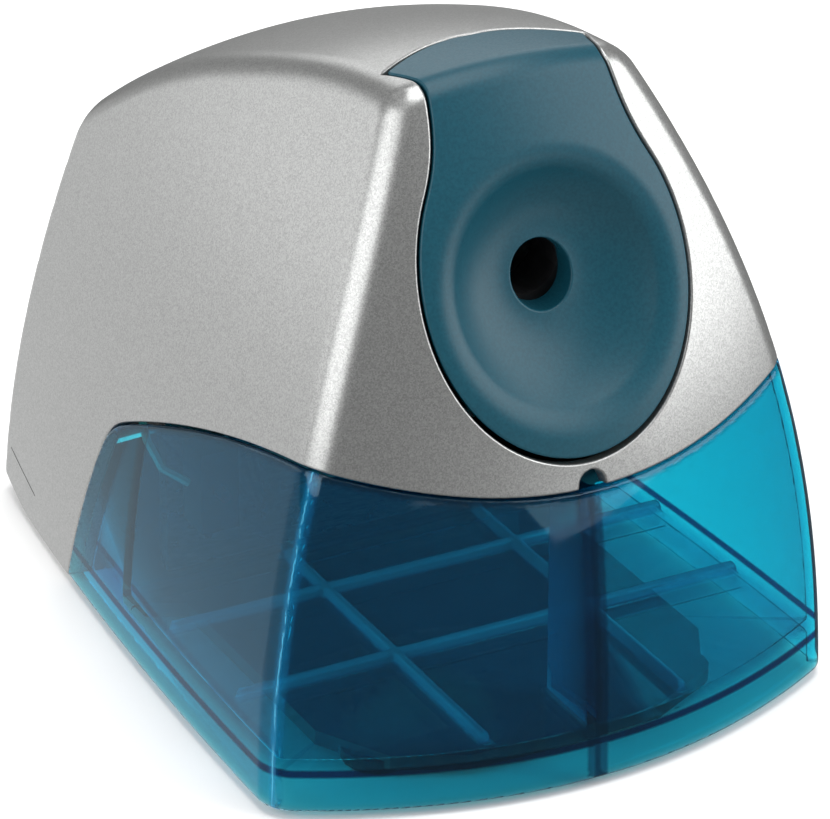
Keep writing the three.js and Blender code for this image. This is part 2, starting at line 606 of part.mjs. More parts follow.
// ---- Rotating cutter head ----
const cutterCarrier = () => {
  const hub = rod(0, AXIS_Z, 6.2, SHROUD_Y + 0.3, 33, 24);
  const frontDisc = rod(0, AXIS_Z, 13.6, 32.2, 33.6, 28);
  const upperHalf = box(-14, 14, 33.6, 60.2, AXIS_Z - 1, 90);
  const cradle = cut(rod(0, AXIS_Z, 11.5, 33.4, 60.4, 28), rod(0, AXIS_Z, 7.6, 33.6, 60.2, 24), upperHalf);
  const rearDisc = rod(0, AXIS_Z, 12.5, 60.2, 62.6, 28);
  const shaft = rod(0, AXIS_Z, 4, 62, 71.2, 20);
  const tail = rod(0, AXIS_Z, 3, 71, 79.6, 16);
  const bore = rod(0, AXIS_Z, 4.9, 28, 34, 24);
  return cut(join(hub, frontDisc, cradle, rearDisc, shaft, tail), bore, cutterAxisRod(1.75, 30, 61.8, 12));
};

// A bar on the cutter's own sloping axis, between the planes y0 and y1.
const onCutterAxis = (geometry, y) =>
  closed(geometry.rotateX(-coneAngle).translate(0, y, AXIS_Z + cutterOffset(y)));
const cutterAxisRod = (r, y0, y1, sides) => {
  const y = (y0 + y1) / 2;
  return onCutterAxis(new THREE.CylinderGeometry(r, r, (y1 - y0) / Math.cos(coneAngle), sides), y);
};

// Milling cutter with helical teeth.
const helicalCutter = () => {
  const teeth = 10;
  const length = 19.4;
  const lead = 1.4; // turn of the helix along the cutter, radians
  const sections = span(-length / 2, length / 2, 8).map((y, j) => {
    const points = [];
    for (let i = 0; i < teeth; i++) {
      for (const [offset, r] of [[0, CUTTER_R - 0.1], [0.62, CUTTER_R - 1.1]]) {
        const a = ((i + offset) * 2 * Math.PI) / teeth + (lead * j) / 8;
        points.push([r * Math.cos(a), y, r * Math.sin(a)]);
      }
    }
    return points;
  });
  const blank = skinOf(sections, [0, -length / 2, 0], [0, length / 2, 0]);
  const bored = cut(blank, closed(new THREE.CylinderGeometry(1.8, 1.8, length + 4, 16)));
  return onCutterAxis(geometryOf(bored), 48.8);
};
const cutterGear = () => {
  const width = 3.2;
  const g = extruded(gearShape(PLANET_TEETH, PLANET_MODULE, 1.8), width, 8);
  return onCutterAxis(g.rotateX(Math.PI / 2).translate(0, width / 2, 0), planetY);
};
add("cutter_carrier", "zinc", cutterCarrier());
add("helical_cutter", "steel", helicalCutter());
add("cutter_gear", "steel", cutterGear());
add("cutter_pin", "steel", cutterAxisRod(1.45, 32.4, 61.4, 12));

// ---- Gear train and motor ----
const SLOW_Y = 66.6;
const FAST_Y = 71.9;
const slowAngle = Math.atan2(IDLER_Z - AXIS_Z, IDLER_X); // from the carrier's axis to the idler's
const fastAngle = Math.atan2(MOTOR_Z - IDLER_Z, -IDLER_X); // from the idler's axis to the motor's

const carrierGear = gear({
  teeth: CARRIER_TEETH,
  module: SLOW_MODULE,
  bore: 4.3,
  y0: SLOW_Y,
  y1: SLOW_Y + 4,
  x: 0,
  z: AXIS_Z,
  facing: slowAngle,
});
const idlerPinion = gear({
  teeth: IDLER_PINION_TEETH,
  module: SLOW_MODULE,
  bore: 1.8,
  y0: SLOW_Y - 0.3,
  y1: FAST_Y + 0.2,
  x: IDLER_X,
  z: IDLER_Z,
  facing: slowAngle + Math.PI,
  gapped: true,
});
const idlerWheel = gear({
  teeth: IDLER_WHEEL_TEETH,
  module: FAST_MODULE,
  bore: 1.8,
  y0: FAST_Y,
  y1: FAST_Y + 3.2,
  x: IDLER_X,
  z: IDLER_Z,
  facing: fastAngle,
});
const motorPinion = gear({
  teeth: MOTOR_PINION_TEETH,
  module: FAST_MODULE,
  bore: 1.4,
  y0: FAST_Y - 0.3,
  y1: FAST_Y + 3.6,
  x: 0,
  z: MOTOR_Z,
  facing: fastAngle + Math.PI,
  gapped: true,
});
add("carrier_gear", "nylon", carrierGear);
add("idler_gear", "nylon", join(idlerPinion, idlerWheel));
add("idler_axle", "steel", rod(IDLER_X, IDLER_Z, 1.5, GEAR_FRAME_Y, MOTOR_PLATE_Y + 2.4, 12));
add("motor_pinion", "brass", motorPinion);

const MOTOR_Y = MOTOR_PLATE_Y + 2.7;
const MOTOR_L = 28.4;
const MOTOR_END = MOTOR_Y + MOTOR_L + GAP;
const motorCan = () => {
  const can = rod(0, MOTOR_Z, MOTOR_R, MOTOR_Y, MOTOR_Y + MOTOR_L, 32);
  const boss = rod(0, MOTOR_Z, 5, MOTOR_Y - 2.2, MOTOR_Y + 1, 20);
  const bore = rod(0, MOTOR_Z, 1.5, MOTOR_Y - 4, MOTOR_Y + MOTOR_L - 1, 12);
  const taps = MOTOR_SCREWS.map(([x, z]) => rod(x, MOTOR_Z + z, 1.3, MOTOR_Y - 1, MOTOR_Y + 4.5, 10));
  const vent = box(-2, 2, MOTOR_Y + 3, MOTOR_Y + 6, MOTOR_R - 1.6, MOTOR_R + 2);
  const vents = [45, 135, 225, 315].map((a) => vent.rotate([0, a, 0]).translate([0, 0, MOTOR_Z]));
  return cut(join(can, boss), bore, ...taps, ...vents);
};
add("motor_can", "zinc", motorCan());
add("motor_shaft", "steel", rod(0, MOTOR_Z, 1.1, FAST_Y - 0.6, MOTOR_Y + MOTOR_L - 2, 12));
// End cap with a terminal block either side of the shaft.
const motorEndCap = () => {
  const disc = rod(0, MOTOR_Z, 12.6, MOTOR_END, MOTOR_END + 1.7, 28);
  const blocks = [-8, 8].map((x) =>
    box(x - 1.6, x + 1.6, MOTOR_END + 1, MOTOR_END + 2.5, MOTOR_Z - 2.4, MOTOR_Z + 2.4),
  );
  const sockets = [-8, 8].map((x) => rod(x, MOTOR_Z, 0.9, MOTOR_END + 1.4, MOTOR_END + 4, 8));
  return cut(join(disc, ...blocks), ...sockets);
};
add("motor_end_cap", "black", motorEndCap());
MOTOR_SCREWS.forEach(([x, z], i) => {
  const pointed = screw(1.9, 0.9, 0.95, 6.2).rotate([-90, 0, 0]);
  add(`motor_screw_${i + 1}`, "zinc", pointed.translate([x, MOTOR_PLATE_Y - 1.2, MOTOR_Z + z]));
});
PILLARS.forEach(([x, z], i) => {
  const pointed = screw(2.2, 1.2, 0.9, 8).rotate([90, 0, 0]);
  add(`frame_screw_${i + 1}`, "zinc", pointed.translate([x, MOTOR_PLATE_Y + 2.7 + 1.2, z]));
});

// ---- Electrics ----
const BOARD_Z = 58;
const circuitBoard = () => {
  const sheet = box(-15, 15, 79.6, 104, BOARD_Z, BOARD_Z + 1.6);
  const holes = [-11.5, 11.5].map((x) => post(x, 84, 1.5, 50, 64, 12));
  return cut(sheet, ...holes);
};
add("circuit_board", "board", circuitBoard());
add("capacitor", "teal", post(9, 93, 4, BOARD_Z + 1.9, BOARD_Z + 9.5, 20));
add("rectifier", "black", box(-5, 3, 84, 88, BOARD_Z + 1.9, BOARD_Z + 8.4));
add("thermal_fuse", "zinc", rod(-9.5, BOARD_Z + 4, 1.9, 84.5, 93, 14));
const terminalBlock = () => {
  const block = box(-12, 4, 96.6, 103, BOARD_Z + 1.9, BOARD_Z + 8);
  const wells = [-9.5, -5.7, -1.9, 1.9].map((x) => post(x, 100, 1.2, BOARD_Z + 5, BOARD_Z + 9, 10));
  const mouths = [-9.5, -5.7, -1.9, 1.9].map((x) => rod(x, BOARD_Z + 3.6, 1, 101, 104, 10));
  return cut(block, ...wells, ...mouths);
};
add("terminal_block", "green", terminalBlock());

// Interlock: the bin's tab faces the plunger, which makes the circuit when the bin is home.
const interlockSwitch = () => {
  const body = box(LOCK.x - 3, LOCK.x + 3, 70, MOTOR_PLATE_Y - GAP, LOCK.z - 6.4, LOCK.z + 6.4);
  return cut(body, rod(LOCK.x, LOCK.z, 1.2, 65, 74.4, 12));
};
add("interlock_switch", "black", interlockSwitch());
add("interlock_plunger", "red", rod(LOCK.x, LOCK.z, 0.9, BIN_BACK_Y + BIN_INNER_WALL + GAP, 72.6, 12));
add("cord_gland", "rubber", cordGland());

// An insulated lead through the given points.
const wire = (points) => {
  const route = points.map((p) => new THREE.Vector3(...p));
  const extrudePath = new THREE.CatmullRomCurve3(route, false, "centripetal");
  const section = new THREE.Shape().absarc(0, 0, 0.65, 0, 2 * Math.PI, false);
  const settings = { steps: 12, curveSegments: 3, bevelEnabled: false, extrudePath };
  return closed(new THREE.ExtrudeGeometry(section, settings));
};
const TERMINAL = { y: 103.4, z: BOARD_Z + 3.6 };
const WIRES = {
  live_lead: ["black", [
    [-1.2, 119, 9.7],
    [-1.2, 114, 8.8],
    [-6, 112, 10.5],
    [-19, 110, 20],
    [-19.5, 106.5, 44],
    [-13, 107.5, 57],
    [-9.5, TERMINAL.y, TERMINAL.z],
  ]],
  neutral_lead: ["nylon", [
    [1.2, 119, 9.7],
    [1.2, 114, 8.8],
    [6, 112, 10.5],
    [19, 110, 20],
    [19, 106.5, 44],
    [8, 107.6, 57],
    [1.9, TERMINAL.y, TERMINAL.z],
  ]],
  motor_lead_a: ["red", [
    [-8, 111, 36],
    [-8, 111.5, 43],
    [-9, 108.5, 52],
    [-5.7, 106.8, 59],
    [-5.7, TERMINAL.y, TERMINAL.z],
  ]],
  motor_lead_b: ["black", [
    [8, 111, 36],
    [8, 111.5, 43],
    [3, 109, 52],
    [-1.9, 107, 59],
    [-1.9, TERMINAL.y, TERMINAL.z],
  ]],
  start_lead: ["red", [
    [-10, 26.6, 84],
    [-13.6, 29, 86.4],
    [-14.4, 42, 86],
    [-17.6, 56, 81.6],
    [-20.2, 65, 79.2],
    [-20.4, 79.5, 75.4],
    [-13, 91, 60.6],
  ]],
  interlock_lead: ["nylon", [
    [-27.6, 73, 19],
    [-30.8, 74, 21],
    [-32.2, 78, 26],
    [-30, 84, 34],
    [-23, 90, 48],
    [-18.5, 94, 59],
    [-13.5, 97, 61.6],
  ]],
};
for (const [name, [finish, points]] of Object.entries(WIRES)) add(name, finish, wire(points));

export default part;
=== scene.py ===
"""Looks of a desktop electric pencil sharpener with a clear pull-out shavings bin.

Shapes are worked out in the casing's own millimetres, as in the CAD source: y counts back from the foot
of the front face, z up from the casing's lower edge. The three outer mouldings are built as fine meshes
around the CAD frame, with a thin dark strip for the seam low on each flank; every other CAD part keeps
its mesh and gets a detailed material.
"""

import json
import math

import bpy
import numpy as np
import openvdb
from mathutils import Matrix, Vector


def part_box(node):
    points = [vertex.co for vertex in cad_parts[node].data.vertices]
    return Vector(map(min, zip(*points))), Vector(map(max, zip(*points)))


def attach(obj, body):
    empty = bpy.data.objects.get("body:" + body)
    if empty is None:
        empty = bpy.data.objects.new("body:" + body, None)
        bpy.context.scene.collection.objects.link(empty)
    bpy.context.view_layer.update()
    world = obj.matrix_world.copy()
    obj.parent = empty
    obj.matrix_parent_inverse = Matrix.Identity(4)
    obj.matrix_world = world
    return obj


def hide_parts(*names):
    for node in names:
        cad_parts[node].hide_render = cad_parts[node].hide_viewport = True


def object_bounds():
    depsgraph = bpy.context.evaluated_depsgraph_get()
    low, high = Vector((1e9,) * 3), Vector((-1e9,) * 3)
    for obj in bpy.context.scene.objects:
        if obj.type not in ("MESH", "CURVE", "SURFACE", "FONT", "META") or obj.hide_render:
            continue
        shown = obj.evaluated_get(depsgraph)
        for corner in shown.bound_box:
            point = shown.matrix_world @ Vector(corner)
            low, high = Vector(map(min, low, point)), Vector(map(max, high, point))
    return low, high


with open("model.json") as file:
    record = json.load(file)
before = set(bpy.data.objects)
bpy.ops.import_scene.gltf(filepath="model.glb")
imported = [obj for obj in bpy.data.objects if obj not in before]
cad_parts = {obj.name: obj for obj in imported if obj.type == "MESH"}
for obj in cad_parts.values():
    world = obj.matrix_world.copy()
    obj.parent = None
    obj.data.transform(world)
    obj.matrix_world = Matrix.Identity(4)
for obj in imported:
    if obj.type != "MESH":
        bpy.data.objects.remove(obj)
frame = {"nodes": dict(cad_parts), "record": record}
cad_low, cad_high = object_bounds()

MM = 0.001
CASING_DEPTH = (cad_high.y - cad_low.y) / MM
CASING_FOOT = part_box("top_housing")[0].z / MM  # the casing's lower edge stands on its rubber feet
ORIGIN = np.array([0, -CASING_DEPTH / 2, CASING_FOOT])

# ---- Driving dimensions, mm ----
HOUSING_WALL = 2.2
PANEL_WALL = 2.2
BIN_WALL = 2.0
EDGE_R = 0.35  # small rounding of moulded edges
FRONT_FACET = 2.5  # width of the flat band down each front corner
FACET_EDGE_R = 0.8  # rounding along both edges of that band
REAR_CORNER_R = 2.0
SHOULDER_R = 2.4
REAR_LIFT = 3.4  # how far the casing's lower edge rises at the rear

AXIS_Z = 68.9  # height of the pencil's axis
PENCIL_HOLE_R = 4.55
DISH_R = 16.6  # finger dish round the pencil hole
DISH_DEPTH = 7.6
DISH_RIM_R = 1.7
HOLE_SLEEVE = 3.4  # how deep the pencil hole's own wall goes

PANEL_GAP = 0.1  # from the panel's outline to the casing's edge
PANEL_INSET = 0.25  # from the panel's outline to the panel's edge
BIN_GAP = 0.3  # from the bin's upper edge to the casing's
NOTCH_R = 2.0  # round notch in the casing's lower front edge
NOTCH_Z = 44.0
GLAND_Z = 10.0  # cord gland in the rear wall
GLAND_HOLE_R = 4.6

BIN_FOOT_Z = 0.3
BIN_FLOOR_LOW = 5.3
BIN_FLOOR_TOP = 7.0
BIN_BACK_Y = 66.0  # the bin's rear wall, from and to
BIN_BACK_END = 67.8
BIN_BACK_TOP = 40
ABOVE_BIN = 60.0  # beside its low part the rear wall goes up to the bin's upper edge
BIN_BACK_HALF = 34.5  # half the width of the low part of the rear wall
BIN_END_Y = 87.6  # where the bin's side walls end, beside the casing
RIB_TOP = 9.0
CROSS_RIBS = [(30.5, 32.0), (52.0, 53.5)]  # from and to, along y
CROSS_RIB_HALF = 40
LONG_RIB = (14.8, 16.2)  # from and to, on both sides of the middle
LONG_RIB_SPAN = (5, 67)
MIDDLE_RIB_HALF = 0.9  # upright rib behind the middle of the front
MIDDLE_RIB_END = 14.5
INNER_CLEARANCE = 0.6  # keeps the plates and ribs back from the outer face
BIN_EDGE_R = 0.5  # rounding of the bin's edges
BIN_FLOOR_EDGE_R = 0.4  # rounding of the floor at its rear end
BIN_LIP_R = 0.6  # rounding of its upper lip and of the middle rib
SHELL_FILLET = 0.6  # from the floor and rear wall to the outer walls
PLATE_FILLET = 0.8  # from the floor to the rear wall, and round the middle rib
RIB_FILLET = 1.0

SEAM_START = (102.7, 5.8)  # y and z where the short seam low on each flank starts
SEAM_END = (115.0, 8.0)
SEAM_HALF = 0.09  # half its height
SEAM_PROUD = 0.02  # how far the strip stands out of the wall, so that it is seen
SEAM_SUNK = 0.5


# ---- Outer surfaces of the casing: each one's place as a smooth formula, mm ----
def front_y(x, z):
    lean = 0.013405 * z + 0.000983 * z**2 + 0.000017 * z**3
    return lean + (0.006563 + 0.000016 * z) * x * x


def side_x(y, z):
    return 44.6 - 0.000648 * (y - 13) ** 2 - 29.161 * (np.maximum(z, 0) / 100) ** 1.9217


def top_z(x, y):
    back = y - 11.91
    flat = 0.7 * np.exp(-(((y - 66) / 18) ** 2))
    return 97.84 - 0.001982 * back**2 - 0.0000116 * np.maximum(back, 0) ** 3 - 0.006461 * x * x - flat


def rear_y(x, z):
    return 123.07 - 0.18099 * z + 0.0000953 * z * z - 0.002083 * x * x


def bin_line_z(x, y):
    """Height where the silver casing ends and the clear bin starts."""
    long = 43.62 + 0.00598 * x * x - 0.0966 * y - 0.00273 * y * y
    steep = 3.4 + (86 - y) * 2.477
    soft = 2.5
    return -soft * np.logaddexp(-long / soft, -steep / soft)


def lower_edge_z(y):
    rise = 0.016 * np.maximum(y - 105, 0) ** 2
    return REAR_LIFT * np.tanh(rise / REAR_LIFT)


def steepness(surface, a, b):
    """How much longer a surface's normal is than the step along its axis."""
    d = 0.05
    along_a = (surface(a + d, b) - surface(a - d, b)) / (2 * d)
    along_b = (surface(a, b + d) - surface(a, b - d)) / (2 * d)
    return np.sqrt(1 + along_a**2 + along_b**2)


# ---- Signed distances, mm, negative inside the material. Points are rows of x, y, z. ----
def round_max(a, b, r):
    """Common part of two solids, with the edge between them rounded."""
    return np.minimum(np.maximum(a, b) + r, 0) + np.hypot(np.maximum(a + r, 0), np.maximum(b + r, 0)) - r


def round_min(a, b, r):
    """Two solids joined, with a fillet between them."""
    return -round_max(-a, -b, r)


def outside_front(x, y, z):
    return (front_y(x, z) - y) / steepness(front_y, x, z)


def outside_flank(x, y, z):
    return (np.abs(x) - side_x(y, z)) / steepness(side_x, y, z)


def outer_form(p):
    """The whole casing and bin as one solid."""
    x, y, z = p[:, 0], p[:, 1], p[:, 2]
    front = outside_front(x, y, z)
    side = outside_flank(x, y, z)
    rear = (y - rear_y(x, z)) / steepness(rear_y, x, z)
    top = (z - top_z(x, y)) / steepness(top_z, x, y)
    facet = (front + side) / math.sqrt(2) + FRONT_FACET / 2
    corner = round_max(np.maximum(front, side), facet, FACET_EDGE_R)
    walls = round_max(corner, rear, REAR_CORNER_R)
    return round_max(walls, top, SHOULDER_R)


def slab(value, low, high):
    return np.maximum(low - value, value - high)


def gradient(surface, p):
    d = 0.01
    result = np.empty_like(p)
    for k in range(3):
        step = np.zeros(3)
        step[k] = d
        result[:, k] = (surface(p + step) - surface(p - step)) / (2 * d)
    return result


def unit(v):
    return v / np.maximum(np.linalg.norm(v, axis=1, keepdims=True), 1e-12)


def settle(p, *surfaces, rounds=5):
    """Moves points by the shortest way to where all the surfaces are zero."""
    for _ in range(rounds):
        off = np.stack([s(p) for s in surfaces], 1)[..., None]
        slopes = np.stack([gradient(s, p) for s in surfaces], 1)
        turned = slopes.transpose(0, 2, 1)
        square = slopes @ turned + 1e-9 * np.eye(len(surfaces))
        step = (turned @ np.linalg.solve(square, off))[..., 0]
        length = np.linalg.norm(step, axis=1, keepdims=True)
        p = p - step * np.minimum(1, 1 / np.maximum(length, 1e-9))
    return p


def skin(surface, low, high, cell):
    """Triangles on surface = 0 inside a box: points and faces."""
    low = np.array(low, float)
    counts = np.ceil((np.array(high) - low) / cell).astype(int) + 1
    axes = [low[k] + cell * np.arange(counts[k]) for k in range(3)]
    values = np.empty(counts, np.float32)
    yy, zz = np.meshgrid(axes[1], axes[2], indexing="ij")
    for i, x in enumerate(axes[0]):
        sheet = np.stack([np.full(yy.size, x), yy.ravel(), zz.ravel()], 1)
        values[i] = surface(sheet).reshape(yy.shape)
    grid = openvdb.FloatGrid()
    grid.copyFromArray(np.clip(values, -4 * cell, 4 * cell))
    points, triangles, quads = grid.convertToPolygons(isovalue=0.0, adaptivity=0.0)
    halves = np.concatenate([triangles, quads[:, [0, 1, 2]], quads[:, [0, 2, 3]]])
    points = settle(points.astype(float) * cell + low, surface, rounds=3)
    corners = points[halves]
    facing = np.cross(corners[:, 1] - corners[:, 0], corners[:, 2] - corners[:, 0])
    outward = gradient(surface, corners.mean(1))
    if (facing * outward).sum() < 0:
        halves = halves[:, ::-1]
    return points, halves.astype(int)


# ---- Meshes ----
def add_mesh(name, points, parts):
    """A mesh object from points in casing mm, and parts: (faces, a normal for each of their corners)."""
    faces = [face for group, _ in parts for face in group.tolist()]
    normals = np.concatenate([group.reshape(-1, 3) for _, group in parts])
    mesh = bpy.data.meshes.new(name)
    mesh.from_pydata(((points + ORIGIN) * MM).tolist(), [], faces)
    mesh.polygons.foreach_set("use_smooth", [True] * len(faces))
    mesh.normals_split_custom_set(normals.tolist())
    made = bpy.data.objects.new(name, mesh)
    bpy.context.scene.collection.objects.link(made)
    return made


def clip(points, faces, surface, limit):
    """The part of a skin where limit is below zero, cut cleanly along limit = 0."""
    value = limit(points)
    spacing = np.median(np.linalg.norm(points[faces[:, 0]] - points[faces[:, 1]], axis=1))
    close = np.flatnonzero(np.abs(value) < spacing)
    slope = np.linalg.norm(gradient(limit, points[close]), axis=1)
    close = close[np.abs(value[close]) < 0.3 * spacing * slope]
    points[close] = settle(points[close], surface, limit)
    value[close] = 0
    at = value[faces]
    kept = faces[(at <= 0).all(1) & (at < 0).any(1)].tolist()
    mixed = faces[(at < 0).any(1) & (at > 0).any(1)].tolist()
    crossings = {}
    starts = []
    for face in mixed:
        for i, j in zip(face, face[1:] + face[:1]):
            key = (min(i, j), max(i, j))
            if value[i] * value[j] < 0 and key not in crossings:
                crossings[key] = len(points) + len(starts)
                share = value[key[0]] / (value[key[0]] - value[key[1]])
                starts.append(points[key[0]] * (1 - share) + points[key[1]] * share)
    if starts:
        points = np.concatenate([points, settle(np.array(starts), surface, limit)])
    for face in mixed:
        loop = []
        for i, j in zip(face, face[1:] + face[:1]):
            if value[i] <= 0:
                loop.append(i)
            if value[i] * value[j] < 0:
                loop.append(crossings[(min(i, j), max(i, j))])
        kept.extend([loop[0], loop[k], loop[k + 1]] for k in range(1, len(loop) - 1))
    kept = np.array(kept)
    used, kept = np.unique(kept, return_inverse=True)
    return points[used], kept.reshape(-1, 3)


def rim_edges(faces):
    """Edges with one face only, in the direction their face goes round."""
    edges = np.concatenate([faces[:, [0, 1]], faces[:, [1, 2]], faces[:, [2, 0]]])
    _, which, count = np.unique(np.sort(edges, axis=1), axis=0, return_inverse=True, return_counts=True)
    return edges[count[which.ravel()] == 1]


def moulding(name, points, faces, surface, wall, inward=None):
    """A wall of even thickness under a clipped skin, with rounded edges all round its openings.

    inward(points) may give another direction and depth for the sides of some openings.
    """
    normals = unit(gradient(surface, points))
    rim = rim_edges(faces)
    outward = np.zeros_like(points)
    along = unit(points[rim[:, 1]] - points[rim[:, 0]])
    for end in (0, 1):
        np.add.at(outward, rim[:, end], np.cross(along, normals[rim[:, end]]))
    edge = np.unique(rim)
    row_of = np.full(len(points), -1)
    row_of[edge] = np.arange(len(edge))
    out = unit(outward[edge])
    down = -normals[edge]
    depth = np.full((len(edge), 1), wall - EDGE_R)
    if inward:
        down, depth = inward(points[edge], down, depth)
    turns = np.radians([30, 60, 90])
    rows = [points[edge] + EDGE_R * (np.sin(t) * out + (1 - np.cos(t)) * down) for t in turns]
    row_normals = [unit(np.cos(t) * normals[edge] + np.sin(t) * out) for t in turns]
    deep = rows[-1] + depth * down
    back = deep - 1.2 * EDGE_R * out
    inner = points - wall * normals
    count, ring = len(points), len(edge)
    everything = np.concatenate([points, *rows, deep, back, inner])
    first_rows = [edge, *[count + ring * k + np.arange(ring) for k in range(5)], count + 5 * ring + edge]
    a, b = row_of[rim[:, 0]], row_of[rim[:, 1]]

    def band(k):
        upper, lower = first_rows[k], first_rows[k + 1]
        return np.stack([upper[b], upper[a], lower[a], lower[b]], 1)

    def corner_normals(above, below):
        return np.stack([above[b], above[a], below[a], below[b]], 1)

    shades = [normals[edge], *row_normals]
    parts = [(faces, normals[faces])]
    parts += [(band(k), corner_normals(shades[k], shades[k + 1])) for k in range(3)]
    parts.append((band(3), corner_normals(out, out)))
    parts.append((band(4), corner_normals(down, down)))
    parts.append((band(5), corner_normals(-out, -out)))
    under = faces[:, ::-1] + count + 5 * ring
    parts.append((under, -normals[faces[:, ::-1]]))
    return add_mesh(name, everything, parts)


# ---- Front panel outline, drawn on a plane tilted 60 degrees so that it wraps onto the top ----
TILT = math.pi / 3
OUTLINE_R = 20.3
OUTLINE_MIDDLE = 48


def bezier(a, b, c, d, count=40):
    t = np.linspace(0, 1, count, endpoint=False)[:, None]
    a, b, c, d = (np.array(v, float) for v in (a, b, c, d))
    return a * (1 - t) ** 3 + 3 * b * t * (1 - t) ** 2 + 3 * c * t * t * (1 - t) + d * t**3


def panel_outline():
    """Right-hand half, from the lowest point round to the middle of the rear edge, then mirrored."""
    leave = 0.56  # angle where the round lower part ends, above the horizontal
    turn = np.linspace(-math.pi / 2, leave, 120, endpoint=False)
    lower = np.stack([OUTLINE_R * np.cos(turn), OUTLINE_MIDDLE + OUTLINE_R * np.sin(turn)], 1)
    rx = OUTLINE_R * math.cos(leave)
    ry = OUTLINE_MIDDLE + OUTLINE_R * math.sin(leave)
    neck = bezier((rx, ry), (rx - 2.6, ry + 4.1), (14.1, 66), (13.6, 71))
    shoulder = bezier((13.6, 71), (13.5, 73.5), (14.7, 76.5), (15.6, 78))
    rear = bezier((15.6, 78), (5.2, 84.27), (0, 82.7), (0, 82.7))
    half = np.concatenate([lower, neck, shoulder, rear])
    return np.concatenate([half, half[:0:-1] * [-1, 1]])


OUTLINE = panel_outline()


def outline_distance(p):
    """How far a point is outside the panel's outline, negative inside."""
    flat = np.stack([p[:, 0], math.sin(TILT) * p[:, 1] + math.cos(TILT) * p[:, 2]], 1)
    result = np.empty(len(p))
    start, end = OUTLINE, np.roll(OUTLINE, -1, axis=0)
    span = end - start
    rise = np.where(span[:, 1] == 0, 1e-9, span[:, 1])
    for first in range(0, len(p), 4000):
        q = flat[first : first + 4000, None]
        share = np.clip(((q - start) * span).sum(2) / (span * span).sum(1), 0, 1)
        distance = np.linalg.norm(q - start - share[..., None] * span, axis=2).min(1)
        crosses = (start[:, 1] > q[..., 1]) != (end[:, 1] > q[..., 1])
        at = start[:, 0] + (q[..., 1] - start[:, 1]) * span[:, 0] / rise
        inside = (crosses & (q[..., 0] < at)).sum(1) % 2 == 1
        result[first : first + 4000] = np.where(inside, -distance, distance)
    return result


# ---- Silver top housing ----
def make_top_housing():
    points, faces = skin(outer_form, (-48, -4, -3), (48, 127, 101), cell=1.05)
    limits = [
        lambda p: lower_edge_z(p[:, 1]) + EDGE_R - p[:, 2],
        lambda p: bin_line_z(p[:, 0], p[:, 1]) + BIN_GAP + EDGE_R - p[:, 2],
        lambda p: PANEL_GAP + EDGE_R - outline_distance(p),
        lambda p: np.where(p[:, 1] < 30, NOTCH_R + EDGE_R - np.hypot(p[:, 0], p[:, 2] - NOTCH_Z), -1),
        lambda p: np.where(p[:, 1] > 100, GLAND_HOLE_R + EDGE_R - np.hypot(p[:, 0], p[:, 2] - GLAND_Z), -1),
    ]
    for limit in limits:
        points, faces = clip(points, faces, outer_form, limit)
    return moulding("top_housing_shell", points, faces, outer_form, HOUSING_WALL)


# ---- Teal front panel with its finger dish ----
def dish(p):
    """In front of the bowl, which is sunk along Y below the curved face."""
    r = np.hypot(p[:, 0], p[:, 2] - AXIS_Z)
    share = np.maximum(r - PENCIL_HOLE_R, 0) / (DISH_R - PENCIL_HOLE_R)
    bowl_y = front_y(p[:, 0], p[:, 2]) + DISH_DEPTH * (1 - share**2)
    slope = 2 * DISH_DEPTH / (DISH_R - PENCIL_HOLE_R) * share
    return (bowl_y - p[:, 1]) / np.sqrt(1.15 + slope**2)


def panel_form(p):
    return round_max(outer_form(p), dish(p), DISH_RIM_R)


def make_front_panel():
    points, faces = skin(panel_form, (-24, -1, 40), (24, 45, 101), cell=0.7)
    limits = [
        lambda p: outline_distance(p) + PANEL_INSET + EDGE_R,
        lambda p: PENCIL_HOLE_R + EDGE_R - np.hypot(p[:, 0], p[:, 2] - AXIS_Z),
    ]
    for limit in limits:
        points, faces = clip(points, faces, panel_form, limit)

    def inward(edge, down, depth):
        at_hole = (np.hypot(edge[:, 0], edge[:, 2] - AXIS_Z) < PENCIL_HOLE_R + 1)[:, None]
        return np.where(at_hole, [0, 1, 0], down), np.where(at_hole, HOLE_SLEEVE, depth)

    return moulding("front_panel_shell", points, faces, panel_form, PANEL_WALL, inward)


